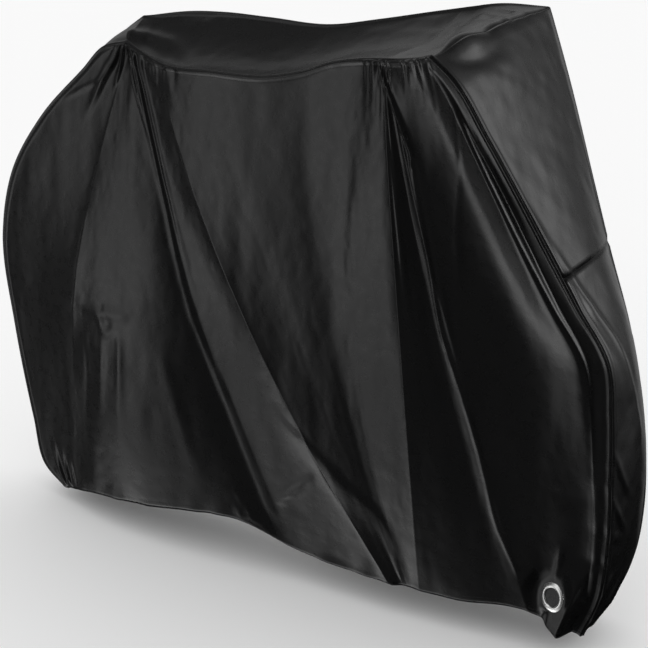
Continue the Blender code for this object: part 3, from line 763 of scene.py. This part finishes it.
GUSSET_PIECES = (
    # node                 width  length  area
    ("rear_panel", 0.14, 1.28, 0.139),
    ("top_panel", 0.46, 0.90, 0.254),
    ("front_panel_upper", 0.46, 0.62, 0.165),
    ("front_panel_lower", 0.22, 0.76, 0.152),
)
for (node, width, length, area), first, last in zip(GUSSET_PIECES, cuts[:-1], cuts[1:]):
    rows = slice(first, last + 1)
    seam_place = np.stack([run_down[rows], from_raised_seam[rows]], axis=2)
    from_hem = np.minimum(run_down, run_down[-1:] - run_down)[rows]
    piece = cloth_object(f"cloth_{node}", strip[rows], seam_place, from_hem)
    piece.data.materials.append(cloth_material)
    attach(piece, "root")
    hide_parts(node)

# ---------------------------------------------------------------------------------------------
# Lock eyelets
# A two-part eyelet of bright plated metal is set through each side near the front hem: the
# barrel is rolled over a broad flange outside and a washer inside.
# ---------------------------------------------------------------------------------------------

RING_STEPS = 96
RING_PROFILE = (
    # radius  height
    (0.0185, -0.0030),
    (0.0185, 0.0008),
    (0.0192, 0.0020),
    (0.0208, 0.0027),
    (0.0232, 0.0028),
    (0.0256, 0.0022),
    (0.0284, 0.0012),
    (0.0298, 0.0008),
    (0.0300, 0.0004),
    (0.0290, 0.0003),
    (0.0200, 0.0003),
    (0.0200, -0.0022),
    (0.0262, -0.0022),
    (0.0265, -0.0028),
    (0.0255, -0.0034),
    (0.0215, -0.0038),
    (0.0195, -0.0036),
)


def turned_ring(name, profile, matrix):
    """A closed profile turned once round its axis: radius times (cosine, sine), and its height."""
    rows = np.array(profile)
    count = len(rows)
    around = np.linspace(0.0, 2 * np.pi, RING_STEPS, endpoint=False)
    points = np.stack(
        [
            rows[:, 0][None] * np.cos(around)[:, None],
            rows[:, 0][None] * np.sin(around)[:, None],
            np.broadcast_to(rows[:, 1], (RING_STEPS, count)),
        ],
        axis=2,
    ).reshape(-1, 3)
    corner = np.arange(RING_STEPS * count).reshape(RING_STEPS, count)
    beside = np.roll(corner, -1, axis=0)
    quads = np.stack([corner, np.roll(corner, -1, axis=1), np.roll(beside, -1, axis=1), beside], axis=2)
    mesh = bpy.data.meshes.new(name)
    mesh.from_pydata(points.tolist(), [], quads.reshape(-1, 4)[:, ::-1].tolist())
    mesh.transform(matrix)
    mesh.shade_smooth()
    ring = bpy.data.objects.new(name, mesh)
    bpy.context.scene.collection.objects.link(ring)
    return ring


def plated_metal():
    """Bright plated metal with a soft brushing of small scratches."""
    shader = Shader("eyelet_metal", 0.25, 1.0)
    place = shader.node("ShaderNodeTexCoord", {}, {}, "Object")
    marks = shader.node(
        "ShaderNodeTexNoise", {}, {"Vector": place, "Scale": 900.0, "Detail": 3.0}, "Fac"
    )
    shader.set(Base_Color=(0.82, 0.82, 0.81, 1.0), Roughness=0.20 + marks * 0.12)
    return shader.material


metal_material = plated_metal()
for side, sign in (("right", -1.0), ("left", 1.0)):
    facing = Vector(EYELET_FACING * np.array([1.0, -sign, 1.0]))
    centre = Vector(EYELET_AT * np.array([1.0, sign, 1.0]) + TO_FRAME)
    turn = facing.to_track_quat("Z", "Y").to_matrix().to_4x4()
    ring = turned_ring(f"set_eyelet_{side}", RING_PROFILE, Matrix.Translation(centre) @ turn)
    ring.data.materials.append(metal_material)
    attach(ring, "root")
    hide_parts(f"eyelet_{side}")

# ---------------------------------------------------------------------------------------------
# Studio
# A plain pale floor a little under the hem, a white surround that the gloss sees as soft panels
# at the cover's rear right, front, top and sides, and the camera at its right front.
# ---------------------------------------------------------------------------------------------


FLOOR_HEIGHT = -0.03
FLOOR_HALF = 20.0


def pale_floor(height, half):
    """A square floor that lights the cloth and takes its shadow, but isn't mirrored in its gloss."""
    mesh = bpy.data.meshes.new("floor")
    corners = [(-half, -half, height), (half, -half, height), (half, half, height), (-half, half, height)]
    mesh.from_pydata(corners, [], [(0, 1, 2, 3)])
    shader = Shader("pale_floor", 0.9)
    shader.set(Base_Color=(0.95, 0.95, 0.95, 1.0))
    shader.surface.inputs["Specular IOR Level"].default_value = 0.0
    mesh.materials.append(shader.material)
    floor = bpy.data.objects.new("floor", mesh)
    floor.visible_glossy = False
    bpy.context.scene.collection.objects.link(floor)


class Surround(Shader):
    """The same node maths on the studio's white surround."""

    def __init__(self, name):
        self.material = bpy.data.worlds.new(name)
        self.material.use_nodes = True
        self.tree = self.material.node_tree
        self.surface = self.tree.nodes["Background"]

    def ramp(self, value, start, end, low, high):
        """An S curve from low, at the start value, to high, at the end value."""
        ends = {"Value": value, "From Min": start, "From Max": end, "To Min": low, "To Max": high}
        return self.node("ShaderNodeMapRange", {"interpolation_type": "SMOOTHSTEP"}, ends)

    def panel(self, towards, middle, start, strength):
        """A soft round panel of light: brightest along its middle, nothing past its edge."""
        facing = self.node(
            "ShaderNodeVectorMath", {"operation": "DOT_PRODUCT"}, {0: towards, 1: middle}, "Value"
        )
        return self.ramp(facing, start, 1.0, 0.0, strength)


def studio_surround():
    """White all round for the floor. In the cloth's gloss it is nearly black, with a tall soft
    panel at the cover's rear right, one ahead of its front, and weaker ones on the other sides:
    each is a product of S curves of the direction, or one of its angle from the panel's middle."""
    sky = Surround("studio")
    towards = sky.node("ShaderNodeTexCoord", {}, {}, "Generated")
    ahead = sky.node("ShaderNodeSeparateXYZ", {}, {0: towards}, 0)
    left = sky.node("ShaderNodeSeparateXYZ", {}, {0: towards}, 1)
    up = sky.node("ShaderNodeSeparateXYZ", {}, {0: towards}, 2)
    turn = sky.node("ShaderNodeMath", {"operation": "ARCTAN2"}, {0: left, 1: ahead})
    # the tall panel at the rear right: a middle part, then what reaches low and what reaches round
    tall = sky.ramp(turn, -1.96, -2.46, 0.0, 1.0) * sky.ramp(turn, -2.67, -2.38, 0.0, 1.0)
    tall = tall * sky.ramp(up, -0.55, -0.10, 0.45, 1.15)
    tall = tall * (1.0 - sky.ramp(turn, -2.20, -2.40, 0.0, 0.6) * sky.ramp(up, -0.34, -0.46, 0.0, 1.0))
    low = sky.ramp(turn, -1.40, -2.15, 0.0, 0.4) * sky.ramp(turn, -2.67, -2.38, 0.0, 1.0)
    low = low + sky.ramp(turn, -2.25, -2.60, 0.0, 1.9) * sky.ramp(turn, -3.00, -2.80, 0.0, 1.0)
    low = low * sky.ramp(up, -0.44, -0.62, 0.0, 1.0)
    level = sky.ramp(turn, -2.25, -2.48, 0.0, 0.8) * sky.ramp(turn, -2.64, -2.52, 0.0, 1.0)
    level = level * sky.ramp(up, -0.12, -0.26, 0.0, 1.0) * sky.ramp(up, -0.45, -0.35, 0.0, 1.0)
    # the panels ahead of the front, the narrow one for its seams first
    gloss = 0.010 + tall + low + level + sky.panel(towards, (0.97, -0.12, 0.20), 0.94, 4.5)
    front = sky.panel(towards, (0.80, 0.54, 0.26), 0.60, 0.55)
    gloss = gloss + front * sky.ramp(up, -0.45, -0.05, 0.25, 1.0)
    for middle, start, strength in (
        ((0.70, 0.66, 0.26), 0.93, 1.6),
        ((-0.50, 0.40, 0.77), 0.30, 0.12),
        ((-0.60, 0.79, 0.10), 0.72, 0.22),
        ((-0.08, 0.98, -0.15), 0.93, 0.4),
        ((0.05, -0.98, -0.20), 0.88, 0.05),
        ((-0.97, 0.20, -0.10), 0.88, 0.5),
        ((0.99, 0.0, -0.10), 0.93, 0.4),
    ):
        gloss = gloss + sky.panel(towards, middle, start, strength)
    is_gloss = sky.node("ShaderNodeLightPath", {}, {}, "Is Glossy Ray")
    sky.set(Strength=1.0 + is_gloss * (gloss - 1.0))
    sky.surface.inputs["Color"].default_value = (1.0, 1.0, 1.0, 1.0)
    bpy.context.scene.world = sky.material


pale_floor(FLOOR_HEIGHT, FLOOR_HALF)
studio_surround()
bpy.context.scene.view_settings.view_transform = "Standard"

CAMERA_AIM = Vector((0.0745, 0.0, 0.525))
CAMERA_TURN = np.radians(33.0)
CAMERA_RISE = np.radians(19.0)
CAMERA_DISTANCE = 3.67
CAMERA_FIELD = np.radians(21.1)
back = Vector(
    (
        np.sin(CAMERA_TURN) * np.cos(CAMERA_RISE),
        -np.cos(CAMERA_TURN) * np.cos(CAMERA_RISE),
        np.sin(CAMERA_RISE),
    )
)
lens = bpy.data.cameras.new("camera")
lens.sensor_width = 36.0
lens.lens = 18.0 / np.tan(CAMERA_FIELD / 2)
camera = bpy.data.objects.new("camera", lens)
camera.location = CAMERA_AIM + CAMERA_DISTANCE * back
camera.rotation_euler = (-back).to_track_quat("-Z", "Y").to_euler()
bpy.context.scene.collection.objects.link(camera)
bpy.context.scene.camera = camera
